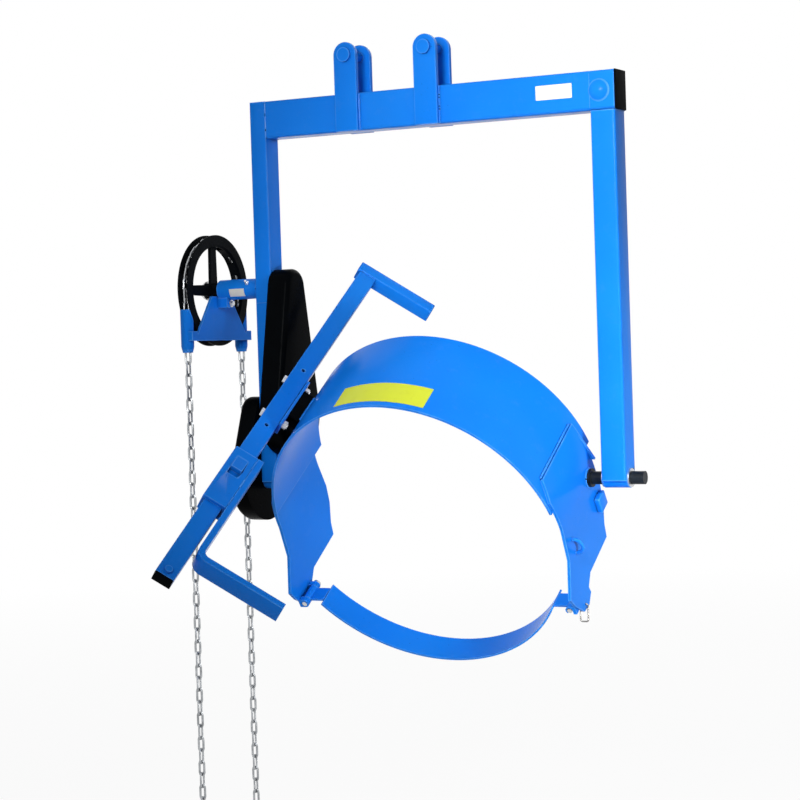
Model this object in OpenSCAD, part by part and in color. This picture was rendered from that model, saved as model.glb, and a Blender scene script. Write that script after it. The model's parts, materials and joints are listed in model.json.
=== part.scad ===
// Below-hook drum lifter. A portal frame hangs from a hook pin and carries a tilting
// saddle on two trunnions. A hand chain turns the saddle through two roller-chain stages.
// The origin is the middle of the centre hook pin, +Z is up and +X runs along the beam.

/* [Frame] */
// Height of the hook pins above the tilt axis
pin_rise = 855; // [850:1:1000]
// Height of the hook pins above the top of the beam
lug_rise = 77; // [60:1:90]
// Height of the beam's section
beam_h = 76.2; // [60:0.1:90]
// Depth of the beam's section, front to back
beam_d = 50.8; // [48:0.1:70]
// Wall of the beam and the legs
tube_wall = 4.8; // [3:0.1:8]
// Clear space between the right wing plate and the right leg
right_leg_gap = 35.2; // [31.6:0.1:63]
// Width of the right leg
right_leg_w = 50.8; // [44:0.1:56]
// Clear space between the left wing plate and the left leg
left_leg_gap = 64.95; // [64.95:0.05:90]
// Width of the left leg
left_leg_w = 38.1; // [32:0.1:44]
// How far the legs reach below the tilt axis
leg_below = 5; // [2:0.5:12]
// Thickness of the black end cap
cap_t = 4; // [2:0.5:8]

/* [Hook lugs] */
// Width of a lug plate
lug_w = 50.8; // [44:0.1:64]
// Thickness of a lug plate
lug_t = 9.5; // [6:0.5:16]
// Radius of the hook pins
hook_pin_r = 9.5; // [6:0.5:12]
// Distance from the centre lugs to the side lugs
lug_spacing = 180; // [120:1:240]
// Radius of the round-headed bolt's head at the right end of the beam
dome_r = 22; // [16:0.5:26]
// Radius of that bolt's shank
dome_shank_r = 10; // [6:0.5:12]

/* [Trunnions] */
// Radius of the trunnion shafts
trunnion_r = 12.7; // [10:0.1:15]
// Outer radius of the bearing tubes at the feet of the legs
bearing_r = 19.05; // [17:0.05:22]
// How far the right trunnion stands out of its leg
trunnion_out = 30; // [20:1:40]
// Radius of the flange that joins a trunnion to its wing plate
trunnion_flange_r = 18; // [17:0.5:24]
// Thickness of that flange
trunnion_flange_t = 8; // [4:0.5:12]
// Thickness of the washers beside the right leg
washer_t = 3; // [1.5:0.5:5]

/* [Saddle] */
// Angle by which the saddle is turned over from upright
tilt = 124.74; // [90:0.01:150]
// Inner radius of the saddle band
band_r = 300; // [290:1:303]
// Thickness of the saddle band
band_t = 4.8; // [3:0.1:6]
// Reach of the band above the tilt axis, on the lid's side
band_near = 166; // [120:1:180]
// Reach of the band below the tilt axis
band_far = 60; // [40:1:90]
// Thickness of the wing plates
wing_t = 6.2; // [4:0.1:8]
// Height of the stiffening flange on a wing plate
wing_flange = 8; // [6:0.5:13]

/* [Front gate] */
// Thickness of the gate's band
gate_t = 4; // [3:0.5:6]
// Lower edge of the gate, above the tilt axis
gate_low = 140; // [138:1:146]
// Width of the gate
gate_w = 60; // [50:1:62]
// Radius of the hinge pin and the latch pin
gate_pin_r = 5; // [4:0.25:6]
// Outer radius of the knuckles
knuckle_r = 9; // [8:0.25:10]

/* [Clamp arm] */
// Angle of the arm round the saddle, from the right trunnion
arm_angle = 138.5; // [130:0.5:142]
// Gap between the arm and the saddle band
arm_gap = 30.3; // [28:0.1:34]
// Width of the arm's tube, towards the saddle's axis
arm_w = 38.1; // [34:0.1:42]
// Depth of the arm's tube, round the saddle
arm_d = 25.4; // [23:0.1:28]
// Wall of the arm's tube
arm_wall = 3; // [2:0.1:4]
// End of the arm's tube, above the tilt axis
arm_top = 590; // [580:1:600]
// Inner face of the far hook, below the tilt axis
arm_low = 383; // [350:1:390]
// Thickness of the far hook
far_hook_t = 25.4; // [16:0.1:32]
// Depth of the far hook, round the saddle
far_hook_w = 31.75; // [28:0.05:38]
// Reach of the far hook's end, from the saddle's axis
far_hook_r = 200; // [160:1:260]
// Lower end of the sleeve, above the tilt axis
sleeve_low = 236; // [226:1:250]
// Length of the sleeve
sleeve_len = 148; // [130:1:160]
// Wall of the sleeve, inside and outside the arm
sleeve_wall = 5.5; // [4:0.1:7]
// Width of the lid hook's flat bar and depth of the sleeve
hook_w = 42; // [40:0.1:46]
// Thickness of the lid hook's flat bar
hook_t = 12.7; // [10:0.1:16]
// Inner face of the lid hook, above the tilt axis
hook_face = 508; // [480:1:530]
// Reach of the lid hook's end, from the saddle's axis
hook_reach_r = 140; // [100:1:200]
// Radius of the arm's bolts
arm_bolt_r = 5; // [4:0.5:6]

/* [Drive] */
// Height of the chain wheel's shaft above the tilt axis
wheel_rise = 396; // [390:1:420]
// Height of the jackshaft above the tilt axis
jack_rise = 135; // [132:1:150]
// Radius of the wheel shaft and the jackshaft
shaft_r = 9.5; // [8:0.25:11]
// Teeth of the small sprockets
small_teeth = 12; // [11:1:13]
// Teeth of the large sprockets
large_teeth = 36; // [34:1:38]
// Pitch of the roller chains
roller_pitch = 12.7; // [12.7:0.1:12.8]
// Thickness of the sprockets
sprocket_t = 7.2; // [5:0.1:8]
// Depth of the upper guard, on the inner side of the left leg
upper_guard_d = 48; // [42:0.5:50]
// Depth of the lower guard, on the outer side of the left leg
lower_guard_d = 42; // [40:0.5:48]
// Wall of the guards
guard_wall = 2.5; // [1.5:0.1:4]

/* [Chain wheel] */
// Radius of the hand chain's middle line on the wheel
wheel_r = 104; // [100:0.5:106]
// Width of the wheel
wheel_w = 25.4; // [24:0.1:27]
// How far the wheel's rim stands outside the middle of the hand chain
rim_h = 12; // [10:0.5:16]
// Spokes of the wheel
spokes = 4; // [3:1:6]
// Length of the shaft housing outside the left leg
housing_len = 97; // [80:1:120]
// Outer radius of the shaft housing
housing_r = 21; // [18:0.5:23]
// Inner radius of the shaft housing
housing_bore_r = 15; // [13:0.5:16]
// Radius of the chain guide's tubes
guide_r = 13.5; // [13.5:0.1:15]

/* [Hand chain] */
// Pitch of the hand chain's links
link_pitch = 25; // [23:0.5:27]
// Wire of a link
link_wire = 4; // [3:0.1:4.2]
// Outer width of a link
link_w = 16; // [15:0.1:17]
// Links in the loop, an even number
links = 114; // [80:2:140]

/* [Fits] */
// Radial clearance of turning shafts
run_fit = 0.05; // [0.02:0.01:0.1]
// Clearance of parts that slide or stand close to each other
slide_gap = 0.3; // [0.2:0.05:0.5]
// Clearance of parts that are fixed to each other
seat_gap = 0.02; // [0.01:0.01:0.05]

/* [Hidden] */
$fn = 64;
cut = 1;
blue = "#1f73d8";
black = "#18181a";
steel = "#b9bcc0";
bronze = "#a9803f";

beam_top = -lug_rise;
beam_low = beam_top - beam_h;
band_out = band_r + band_t;
wing_in = band_out;
wing_out = wing_in + wing_t;
right_in = wing_out + right_leg_gap;
right_out = right_in + right_leg_w;
right_leg_x = (right_in + right_out) / 2;
left_in = -wing_out - left_leg_gap;
left_out = left_in - left_leg_w;
left_leg_x = -(left_in + left_out) / 2;
rim_r = wheel_r + rim_h;
leg_low = -pin_rise - leg_below;
dome_x = right_leg_x - 6;
dome_z = beam_top - beam_h / 2;
nut_h = 10;
pin_head_h = 6;
pin_head_r = hook_pin_r + 5;

wing_angle = 20;
band_angle = 8;
trunnion_seat = wing_out + trunnion_flange_t;
wing_low = -34;
wing_reach = band_r * 2 / 3;
flange_t = 5;
flange_y = [22, 98];
block_w = 32;
block_h = 12;
block_y = -62;
block_z = -5;
eye_y = -56;
eye_z = 138;

knuckle_x = wing_in - knuckle_r - 3;
knuckle_y = -0.55 * band_r;
gate_in = band_r + 1;
gate_mid = gate_in + gate_t / 2;
gate_angle = asin(-knuckle_y / gate_mid);
gate_top = gate_low + gate_w;
ear_t = 12;
knuckle_low = gate_low + ear_t;
knuckle_top = gate_top - ear_t;
slot_r = gate_pin_r + 0.7;
clip_y = knuckle_y - 11.5;
clip_z = 166;
clip_wire_r = 1.5;
clip_hole_r = clip_wire_r + 0.6;
clip_half = 8;
clip_drop = 34;

arm_half = arm_w / 2;
arm_half_d = arm_d / 2;
arm_radius = band_out + arm_gap + arm_half;
arm_cap_t = 3;
cap_plug = 6;
sleeve_half = arm_half + slide_gap + sleeve_wall;
sleeve_in = arm_half + slide_gap;
sleeve_in_d = arm_half_d + slide_gap;
hook_out_x = -sleeve_half;
hook_bend_r = 25;
far_hook_out = 6;
arm_plate_t = 6;
arm_plate_w = arm_d + 6;
arm_plate_z = [-18, 120];
standoff_t = 5;
standoff_half = arm_plate_w / 2;
standoff_z = [12, 88];
arm_bolt_z = [-4, 104];
face_hole_z = [-40, 140];
face_hole_r = 4;
stop_z = arm_top - 14;
bolt_head_h = 6;
latch_w = 24;
latch_up = 20;
latch_len = 34;
latch_z = [sleeve_low + latch_up, sleeve_low + latch_up + latch_len];
latch_rise = 5;
latch_open = 16;

small_r = roller_pitch / 2 / sin(180 / small_teeth);
large_r = roller_pitch / 2 / sin(180 / large_teeth);
roller_r = 3.96;
tooth_h = 2.6;
strip_half = 4.6;
strip_t = 1.5;
strip_gap = 0.6;
guard_room = strip_half + 5 + guard_wall;
upper_x = left_in + upper_guard_d / 2;
lower_x = left_out - lower_guard_d / 2;
upper_c = wheel_rise - jack_rise;
hub_t = 16;
sprocket_hub_r = shaft_r + 5;
post_r = 6;
back_t = 2;
edge_bite = 0.05;
upper_post_z = large_r + tooth_h + post_r + 4;
lower_post_z = jack_rise - small_r - strip_half - post_r - 2;
bush_len = 25;
jack_bush_r = 16;

hub_gap = 0.5;
hub_r = 16;
hub_out = 8;
wheel_x = left_out - housing_len - hub_gap - hub_out - wheel_w / 2;
groove_r = wheel_r - link_w / 2 - 0.4;
groove_half = link_w / 2 + 1;
rim_in_r = groove_r - 4;
rim_gap = 2;
guide_bore = link_w / 2 + 1.5;
guide_plate_t = 5;
guide_plate_x = wheel_x + guide_r + rim_gap / 2;
guide_neck = 36;
guide_plate_z = [-105, -13];
guide_tube_z = [-117, -40];
guide_tip = 12;
guide_lug_h = 20;
guide_seat = [28, 28, 24];
run_len = (links * link_pitch - 2 * PI * wheel_r) / 2;
link_slack = 2.4;
link_half = (link_pitch + link_slack) / 2 + link_wire - link_w / 2;

// Places and shared shapes

module at_axis() translate([0, 0, -pin_rise]) children();

module at_height(h) translate([0, 0, h - pin_rise]) children();

module at_saddle() at_axis() rotate([tilt, 0, 0]) children();

module at_arm() at_saddle() rotate([0, 0, arm_angle]) translate([arm_radius, 0, 0]) children();

module x_rod(r, x0, x1) translate([x0, 0, 0]) rotate([0, 90, 0]) cylinder(r = r, h = x1 - x0);

module x_pipe(r_out, r_in, x0, x1) {
  difference() {
    x_rod(r_out, x0, x1);
    x_rod(r_in, x0 - cut, x1 + cut);
  }
}

module y_rod(r, y0, y1) translate([0, y1, 0]) rotate([90, 0, 0]) cylinder(r = r, h = y1 - y0);

module hex_x(r, x0, x1) translate([x0, 0, 0]) rotate([0, 90, 0]) cylinder(r = r, h = x1 - x0, $fn = 6);

module hex_y(r, y0, y1) translate([0, y1, 0]) rotate([90, 0, 0]) cylinder(r = r, h = y1 - y0, $fn = 6);

// Upright box tube with its middle at x, from z0 up to z1
module post_tube(x, w, z0, z1) {
  translate([x - w / 2, -beam_d / 2, z0]) difference() {
    cube([w, beam_d, z1 - z0]);
    translate([tube_wall, tube_wall, -cut])
      cube([w - 2 * tube_wall, beam_d - 2 * tube_wall, z1 - z0 + 2 * cut]);
  }
}

// Outline round two circles: a large one at the origin and a small one at height c
module drive_outline(c, r_small, r_large) {
  lean = asin((r_large - r_small) / c);
  low = (r_large - edge_bite) * [cos(lean), sin(lean)];
  high = (r_small - edge_bite) * [cos(lean), sin(lean)] + [0, c];
  circle(r = r_large);
  translate([0, c]) circle(r = r_small);
  polygon([low, high, [-high[0], high[1]], [-low[0], low[1]]]);
}

// Turns an outline in the plane of height and depth into a plate from x0 to x1
module x_plate(x0, x1) {
  translate([x0, 0, 0]) rotate([90, 0, 90]) linear_extrude(x1 - x0) children();
}

module sector(r, a0, a1) {
  far = r * 1.5;
  mid = (a0 + a1) / 2;
  intersection() {
    circle(r = r, $fn = 128);
    polygon([[0, 0], [far * cos(a0), far * sin(a0)], [far * cos((a0 + mid) / 2), far * sin((a0 + mid) / 2)],
      [far * cos(mid), far * sin(mid)], [far * cos((mid + a1) / 2), far * sin((mid + a1) / 2)],
      [far * cos(a1), far * sin(a1)]]);
  }
}

module ring_sector(r_in, r_out, a0, a1) {
  difference() {
    sector(r_out, a0, a1);
    circle(r = r_in, $fn = 128);
  }
}

// Frame

module cross_beam() color(blue) {
  difference() {
    translate([left_in, -beam_d / 2, beam_low]) cube([right_out - left_in, beam_d, beam_h]);
    translate([left_in - cut, tube_wall - beam_d / 2, beam_low + tube_wall])
      cube([right_out - left_in + 2 * cut, beam_d - 2 * tube_wall, beam_h - 2 * tube_wall]);
    translate([dome_x, 0, dome_z]) y_rod(dome_shank_r + slide_gap, -beam_d, beam_d);
  }
}

module left_leg() color(blue) {
  difference() {
    union() {
      post_tube(-left_leg_x, left_leg_w, leg_low, beam_top);
      translate([left_out, -beam_d / 2, beam_top - tube_wall]) cube([left_leg_w, beam_d, tube_wall]);
    }
    at_axis() x_rod(bearing_r + seat_gap, left_out - cut, left_in + cut);
    at_height(jack_rise) x_rod(jack_bush_r + seat_gap, left_out - cut, left_in + cut);
    at_height(wheel_rise) x_rod(housing_r + seat_gap, left_out - cut, left_in + cut);
    at_height(jack_rise + upper_post_z) x_rod(post_r / 2 + slide_gap, left_out - cut, left_in + cut);
  }
}

module right_leg() color(blue) {
  difference() {
    post_tube(right_leg_x, right_leg_w, leg_low, beam_low);
    at_axis() x_rod(bearing_r + seat_gap, right_in - cut, right_out + cut);
  }
}

// Plastic cap with a plug inside the beam's end
module beam_end_cap() color(black) {
  plug_d = beam_d - 2 * tube_wall - 2 * slide_gap;
  plug_h = beam_h - 2 * tube_wall - 2 * slide_gap;
  translate([right_out, -beam_d / 2, beam_low]) cube([cap_t, beam_d, beam_h]);
  translate([right_out - cap_plug, -plug_d / 2, dome_z - plug_h / 2]) cube([cap_plug, plug_d, plug_h]);
}

module lug(x, y0) {
  translate([x, y0, 0]) difference() {
    union() {
      y_rod(lug_w / 2, 0, lug_t);
      translate([-lug_w / 2, 0, beam_low]) cube([lug_w, lug_t, -beam_low]);
    }
    y_rod(hook_pin_r + seat_gap, -cut, lug_t + cut);
  }
}

module hook_lugs() color(blue) {
  for (x = [0, -lug_spacing], y = [-beam_d / 2 - lug_t, beam_d / 2]) lug(x, y);
}

// Pin with a turned head in front and a snap ring behind
module hook_pin(x) {
  reach = beam_d / 2 + lug_t;
  ring_t = 2;
  translate([x, 0, 0]) {
    y_rod(hook_pin_r, -reach, reach + 2 * ring_t + 3);
    y_rod(pin_head_r, -reach - pin_head_h, -reach);
    y_rod(hook_pin_r + 3.5, reach, reach + ring_t);
  }
}

module centre_hook_pin() color(blue) hook_pin(0);

module side_hook_pin() color(blue) hook_pin(-lug_spacing);

module dome_bolt() color(blue) {
  dome_h = 9;
  dome_ball = (dome_r * dome_r + dome_h * dome_h) / (2 * dome_h);
  translate([dome_x, 0, dome_z]) {
    y_rod(dome_shank_r, -beam_d / 2, beam_d / 2 + nut_h + 4);
    hex_y(dome_shank_r * 1.8, beam_d / 2, beam_d / 2 + nut_h);
    intersection() {
      translate([0, -beam_d / 2 + dome_ball - dome_h, 0]) sphere(r = dome_ball);
      y_rod(dome_r, -beam_d / 2 - dome_h, -beam_d / 2);
    }
  }
}

module right_bearing() color(blue)
  at_axis() x_pipe(bearing_r, trunnion_r + run_fit, right_in, right_out);

module left_bearing() color(blue)
  at_axis() x_pipe(bearing_r, trunnion_r + run_fit, left_out, left_in);

module trunnion_washers() color(steel) at_axis() {
  for (x = [right_in - washer_t, right_out])
    x_pipe(bearing_r - 1, trunnion_r + slide_gap, x, x + washer_t);
}

// Drive on the left leg

module shaft_housing() color(blue) at_height(wheel_rise)
  x_pipe(housing_r, housing_bore_r, left_out - housing_len, left_in);

module housing_bushes() color(bronze) at_height(wheel_rise) {
  for (x = [left_out - housing_len, left_in - bush_len])
    x_pipe(housing_bore_r - seat_gap, shaft_r + run_fit, x, x + bush_len);
}

module jack_bush() color(bronze) at_height(jack_rise)
  x_pipe(jack_bush_r, shaft_r + run_fit, left_out, left_in);

// Plate that hangs from the housing and holds a tube round each run of the hand chain
module chain_guide() color(blue) at_height(wheel_rise) {
  plate_end = guide_plate_x + guide_plate_t;
  lug_half = guide_r - 3;
  difference() {
    union() {
      x_plate(guide_plate_x, plate_end)
        polygon([[-guide_neck, guide_plate_z[1]], [guide_neck, guide_plate_z[1]],
          [wheel_r, guide_plate_z[0]], [-wheel_r, guide_plate_z[0]]]);
      translate([guide_plate_x, -guide_seat[1] / 2, guide_plate_z[1] - guide_seat[2]]) cube(guide_seat);
      for (y = [-wheel_r, wheel_r]) {
        translate([wheel_x, y, guide_tube_z[0]]) cylinder(r = guide_r, h = guide_tube_z[1] - guide_tube_z[0]);
        translate([wheel_x, y, guide_tube_z[0] - guide_tip])
          cylinder(r1 = guide_r - 3, r2 = guide_r, h = guide_tip);
        translate([wheel_x, y - lug_half, guide_plate_z[0]])
          cube([plate_end - wheel_x, 2 * lug_half, guide_lug_h]);
      }
    }
    x_rod(rim_r + rim_gap, wheel_x - guide_r - cut, wheel_x + guide_r + slide_gap);
    x_rod(housing_r + seat_gap, guide_plate_x - cut, left_out);
    for (y = [-wheel_r, wheel_r]) translate([wheel_x, y, guide_tube_z[0] - guide_tip - cut])
      cylinder(r = guide_bore, h = guide_tube_z[1] - guide_tube_z[0] + guide_tip + 2 * cut);
  }
}

// Bolt through the left leg into the upper guard's post
module guard_bolt() color(black) at_height(jack_rise + upper_post_z) {
  head_r = 12;
  x_rod(post_r / 2, left_out, left_in);
  x_rod(head_r, left_out - bolt_head_h, left_out);
}

// Sheet cover open towards the leg, from x0 (leg) to x1 (outer face)
module guard_cover(c, x_leg, x_face) {
  room = guard_room;
  dir = sign(x_face - x_leg);
  inner_face = x_face - dir * guard_wall;
  difference() {
    x_plate(min(x_leg, x_face), max(x_leg, x_face)) drive_outline(c, small_r + room, large_r + room);
    x_plate(min(x_leg - dir * cut, inner_face), max(x_leg - dir * cut, inner_face))
      drive_outline(c, small_r + room - guard_wall, large_r + room - guard_wall);
  }
}

// Sheet that closes a guard on the leg's side
module guard_back(c, x0, hole_small, hole_large) {
  room = guard_room - guard_wall - slide_gap;
  difference() {
    x_plate(x0, x0 + back_t) drive_outline(c, small_r + room, large_r + room);
    x_rod(hole_large, x0 - cut, x0 + back_t + cut);
    translate([0, 0, c]) x_rod(hole_small, x0 - cut, x0 + back_t + cut);
  }
}

module upper_guard() color(black) at_height(jack_rise) difference() {
  guard_cover(upper_c, left_in, left_in + upper_guard_d);
  translate([0, 0, upper_post_z]) x_rod(post_r / 2, left_in, left_in + upper_guard_d + cut);
}

module upper_guard_back() color(black) at_height(jack_rise)
  guard_back(upper_c, left_in, housing_r + 1, jack_bush_r + 1);

module lower_guard() color(black) at_axis() difference() {
  guard_cover(jack_rise, left_out, left_out - lower_guard_d);
  translate([0, 0, lower_post_z]) x_rod(post_r / 2, left_out - lower_guard_d - cut, left_out);
}

module lower_guard_back() color(black) at_axis()
  guard_back(jack_rise, left_out - back_t, jack_bush_r + 1, bearing_r + 1);

module guard_posts() color(steel) {
  at_height(jack_rise + upper_post_z)
    x_rod(post_r, left_in + back_t, left_in + upper_guard_d - guard_wall);
  at_height(lower_post_z) x_rod(post_r, left_out - lower_guard_d + guard_wall, left_out - back_t);
}

// Screw through a guard's face, with its head outside
module guard_screw(x_face, dir) {
  shank = guard_wall;
  x_rod(post_r / 2 - slide_gap, min(x_face, x_face - dir * shank), max(x_face, x_face - dir * shank));
  hex_x(post_r, min(x_face, x_face + dir * 5), max(x_face, x_face + dir * 5));
}

module guard_screws() color(steel) {
  at_height(jack_rise + upper_post_z) guard_screw(left_in + upper_guard_d, 1);
  at_height(lower_post_z) guard_screw(left_out - lower_guard_d, -1);
}

// Sprocket in the middle plane x with a hub on the side given by dir
module sprocket(teeth, r, bore, hub, x, dir) {
  difference() {
    union() {
      x_plate(x - sprocket_t / 2, x + sprocket_t / 2) difference() {
        circle(r = r + tooth_h);
        for (i = [0 : teeth - 1])
          rotate(i * 360 / teeth) translate([r, 0]) circle(r = roller_r + 0.1, $fn = 24);
      }
      x_rod(hub, min(x, x + dir * hub_t), max(x, x + dir * hub_t));
    }
    x_rod(bore + seat_gap, x - hub_t - cut, x + hub_t + cut);
  }
}

// Roller chain: two rows of link plates beside the teeth, with rollers on the straight runs
module roller_chain(c, x) {
  lean = asin((large_r - small_r) / c);
  run = c * cos(lean);
  tip = tooth_h + roller_r + slide_gap;
  clear_large = sqrt(pow(large_r + tip, 2) - pow(large_r, 2));
  clear_small = sqrt(pow(small_r + tip, 2) - pow(small_r, 2));
  steps = floor((run - clear_large - clear_small) / roller_pitch);
  side = sprocket_t / 2 + strip_gap;
  for (x0 = [x - side - strip_t, x + side]) x_plate(x0, x0 + strip_t) difference() {
    drive_outline(c, small_r + strip_half, large_r + strip_half);
    drive_outline(c, small_r - strip_half, large_r - strip_half);
  }
  for (i = [0 : steps], flip = [-1, 1]) {
    d = clear_large + i * roller_pitch;
    y = large_r * cos(lean) - d * sin(lean);
    z = large_r * sin(lean) + d * cos(lean);
    translate([0, flip * y, z]) x_rod(roller_r, x - side, x + side);
  }
}

module first_roller_chain() color(steel) at_height(jack_rise) roller_chain(upper_c, upper_x);

module second_roller_chain() color(steel) at_axis() roller_chain(jack_rise, lower_x);

// Straight-sided loop outline, long along its second axis
module stadium(half_w, half_straight) {
  for (z = [-half_straight, half_straight]) translate([0, z]) circle(r = half_w, $fn = 32);
  translate([-half_w, -half_straight]) square([2 * half_w, 2 * half_straight]);
}

// One link of square wire, long along Z
module chain_link() {
  rotate([90, 0, 0]) linear_extrude(link_wire, center = true) difference() {
    stadium(link_w / 2, link_half);
    stadium(link_w / 2 - link_wire, link_half);
  }
}

// Depth, height and turn of the point at length t along the chain's loop
function loop_point(t) =
  let (arc = PI * wheel_r, turn = 180 * t / arc, low_turn = 180 * (t - arc - run_len) / arc)
  t < arc ? [-wheel_r * cos(turn), wheel_r * sin(turn), -turn]
  : t < arc + run_len ? [wheel_r, arc - t, 0]
  : t < 2 * arc + run_len
    ? [wheel_r * cos(low_turn), -run_len - wheel_r * sin(low_turn), -low_turn]
  : [-wheel_r, t - 2 * arc - 2 * run_len, 0];

module hand_chain() color(steel) at_height(wheel_rise) {
  for (i = [0 : links - 1]) {
    place = loop_point((i + 0.5) * link_pitch);
    translate([wheel_x, place[0], place[1]]) rotate([place[2], 0, 0]) rotate([0, 0, 90 * (i % 2)])
      chain_link();
  }
}

module chain_wheel() color(black) at_height(wheel_rise) translate([wheel_x, 0, 0]) {
  half = wheel_w / 2;
  spoke_t = 7;
  spoke_hub = 12;
  spoke_rim = 10;
  lip_t = 3;
  window_w = 20;
  windows = 3 * spokes;
  difference() {
    union() {
      rotate([0, 90, 0]) rotate_extrude($fn = 96)
        polygon([[rim_in_r, -groove_half], [groove_r, -half], [rim_r, -half], [rim_r, lip_t - half],
          [groove_r, -groove_half], [groove_r, groove_half], [rim_r, half - lip_t], [rim_r, half],
          [groove_r, half], [rim_in_r, groove_half]]);
      x_rod(hub_r, -half, half + hub_out);
      for (i = [0 : spokes - 1]) rotate([i * 360 / spokes, 0, 0])
        x_plate(-spoke_t / 2, spoke_t / 2)
          polygon([[-spoke_hub, hub_r - 5], [spoke_hub, hub_r - 5], [spoke_rim, rim_in_r + 2],
            [-spoke_rim, rim_in_r + 2]]);
    }
    for (i = [0 : windows - 1]) rotate([(i + 0.5) * 360 / windows, 0, 0])
      translate([-groove_half + 2, -window_w / 2, rim_in_r - 5]) cube([2 * groove_half - 4, window_w, 20]);
    x_rod(shaft_r + seat_gap, -half - cut, half + hub_out + cut);
  }
}

module wheel_shaft() color(steel) at_height(wheel_rise)
  x_rod(shaft_r, wheel_x - wheel_w / 2 - nut_h - 4, upper_x + hub_t - 4);

module wheel_nut() color(steel) at_height(wheel_rise) difference() {
  union() {
    hex_x(shaft_r * 1.8, wheel_x - wheel_w / 2 - nut_h, wheel_x - wheel_w / 2 - 2);
    x_rod(shaft_r * 2.1, wheel_x - wheel_w / 2 - 2, wheel_x - wheel_w / 2);
  }
  x_rod(shaft_r + seat_gap, wheel_x - wheel_w, wheel_x);
}

module wheel_sprocket() color(steel) at_height(wheel_rise)
  sprocket(small_teeth, small_r, shaft_r, sprocket_hub_r, upper_x, -1);

module jackshaft() color(steel) at_height(jack_rise)
  x_rod(shaft_r, lower_x - hub_t + 4, upper_x + hub_t - 4);

module jack_large_sprocket() color(steel) at_height(jack_rise)
  sprocket(large_teeth, large_r, shaft_r, sprocket_hub_r, upper_x, -1);

module jack_small_sprocket() color(steel) at_height(jack_rise)
  sprocket(small_teeth, small_r, shaft_r, sprocket_hub_r, lower_x, 1);

// Saddle, drawn upright: Z runs to the lid, +Y to the band's back, the mouth is at -Y

module saddle_band() color(blue) at_saddle()
  translate([0, 0, -band_far]) linear_extrude(band_far + band_near)
    ring_sector(band_r, band_out, band_angle, 180 - band_angle);

// Ears that hold a gate pin on the inner face of a wing, slotted where the latch pin leaves
module gate_ears(slotted) {
  for (z = [gate_low, gate_top - ear_t]) translate([knuckle_x, knuckle_y, z])
    linear_extrude(ear_t) difference() {
      union() {
        circle(r = knuckle_r);
        translate([0, -knuckle_r]) square([wing_in - knuckle_x + cut, 2 * knuckle_r]);
      }
      circle(r = slotted ? slot_r : gate_pin_r + seat_gap);
      if (slotted) translate([-slot_r, -knuckle_r - cut]) square([2 * slot_r, knuckle_r + cut]);
    }
}

// Wing plate: rolled onto the band behind, flat beside the trunnion, with a lobe for the gate
module wing(slotted) {
  back = (wing_out + cut) * sin(wing_angle);
  low = [[-0.15, 0], [-0.267, 10], [-0.39, 32], [-0.477, 39]];
  lobe = [[-0.483, -30], [-0.54, -7], [-0.587, -9], [-0.633, 12], [-0.62, 38], [-0.503, gate_w + 4],
    [-0.423, gate_w + 14]];
  high = [[-0.217, 5], [0, -6], [0.217, -6]];
  outline = concat([[back, wing_low]], [for (p = low) [p[0] * band_r, wing_low + p[1]]],
    [for (p = lobe) [p[0] * band_r, gate_low + p[1]]], [for (p = high) [p[0] * band_r, band_near + p[1]]],
    [[back, band_near - 26]]);
  difference() {
    union() {
      intersection() {
        translate([0, 0, -band_far]) linear_extrude(band_far + gate_top + gate_w) {
          ring_sector(wing_in + seat_gap, wing_out, 0, wing_angle);
          translate([wing_in + seat_gap, -wing_reach]) square([wing_t - seat_gap, wing_reach]);
        }
        x_plate(band_r / 2, wing_out + cut) polygon(outline);
      }
      translate([0, 0, wing_low]) linear_extrude(flange_t) difference() {
        polygon([[band_r * 0.9, flange_y[0]], [wing_out + wing_flange, flange_y[0]],
          [sqrt(pow(wing_out, 2) - pow(flange_y[1], 2)), flange_y[1]], [band_r * 0.9, flange_y[1]]]);
        circle(r = wing_out - 2, $fn = 128);
      }
      gate_ears(slotted);
    }
    if (slotted) translate([0, clip_y, clip_z]) x_rod(clip_hole_r, wing_in - cut, wing_out + cut);
  }
}

module right_wing() color(blue) at_saddle() wing(true);

module left_wing() color(blue) at_saddle() mirror([1, 0, 0]) wing(false);

// Trunnion with its flange on a wing plate, reaching out to x_end
module trunnion(x_end) {
  x_rod(trunnion_flange_r, wing_out, trunnion_seat);
  x_rod(trunnion_r, wing_out, x_end);
}

module right_trunnion() color(black) at_axis() trunnion(right_out + trunnion_out);

module left_trunnion() color(black) at_axis() mirror([1, 0, 0]) trunnion(-lower_x + hub_t - 4);

module trunnion_sprocket() color(steel) at_axis()
  sprocket(large_teeth, large_r, trunnion_r, trunnion_r + 6, lower_x, -1);

module wing_block() color(blue) at_saddle()
  translate([wing_out, block_y - block_w / 2, block_z - block_w / 2]) cube([block_h, block_w, block_w]);

module wing_eye() color(blue) at_saddle() translate([wing_out, eye_y, eye_z]) {
  eye_r = 16;
  wire_r = 3.6;
  foot_h = 2;
  translate([foot_h, 0, 0]) rotate([0, 0, -90])
    rotate_extrude(angle = 180, $fn = 48) translate([eye_r, 0]) circle(r = wire_r, $fn = 24);
  for (y = [-eye_r, eye_r]) translate([0, y, 0]) x_rod(wire_r, 0, foot_h);
}

// Clamp arm: in its own place +X points away from the saddle's axis

// Plate bolted to the arm's inner face
module arm_plate() color(blue) at_arm() difference() {
  translate([-arm_half - arm_plate_t, -arm_plate_w / 2, arm_plate_z[0]])
    cube([arm_plate_t, arm_plate_w, arm_plate_z[1] - arm_plate_z[0]]);
  for (z = arm_bolt_z) translate([0, 0, z]) x_rod(arm_bolt_r + seat_gap, -arm_w, 0);
}

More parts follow.
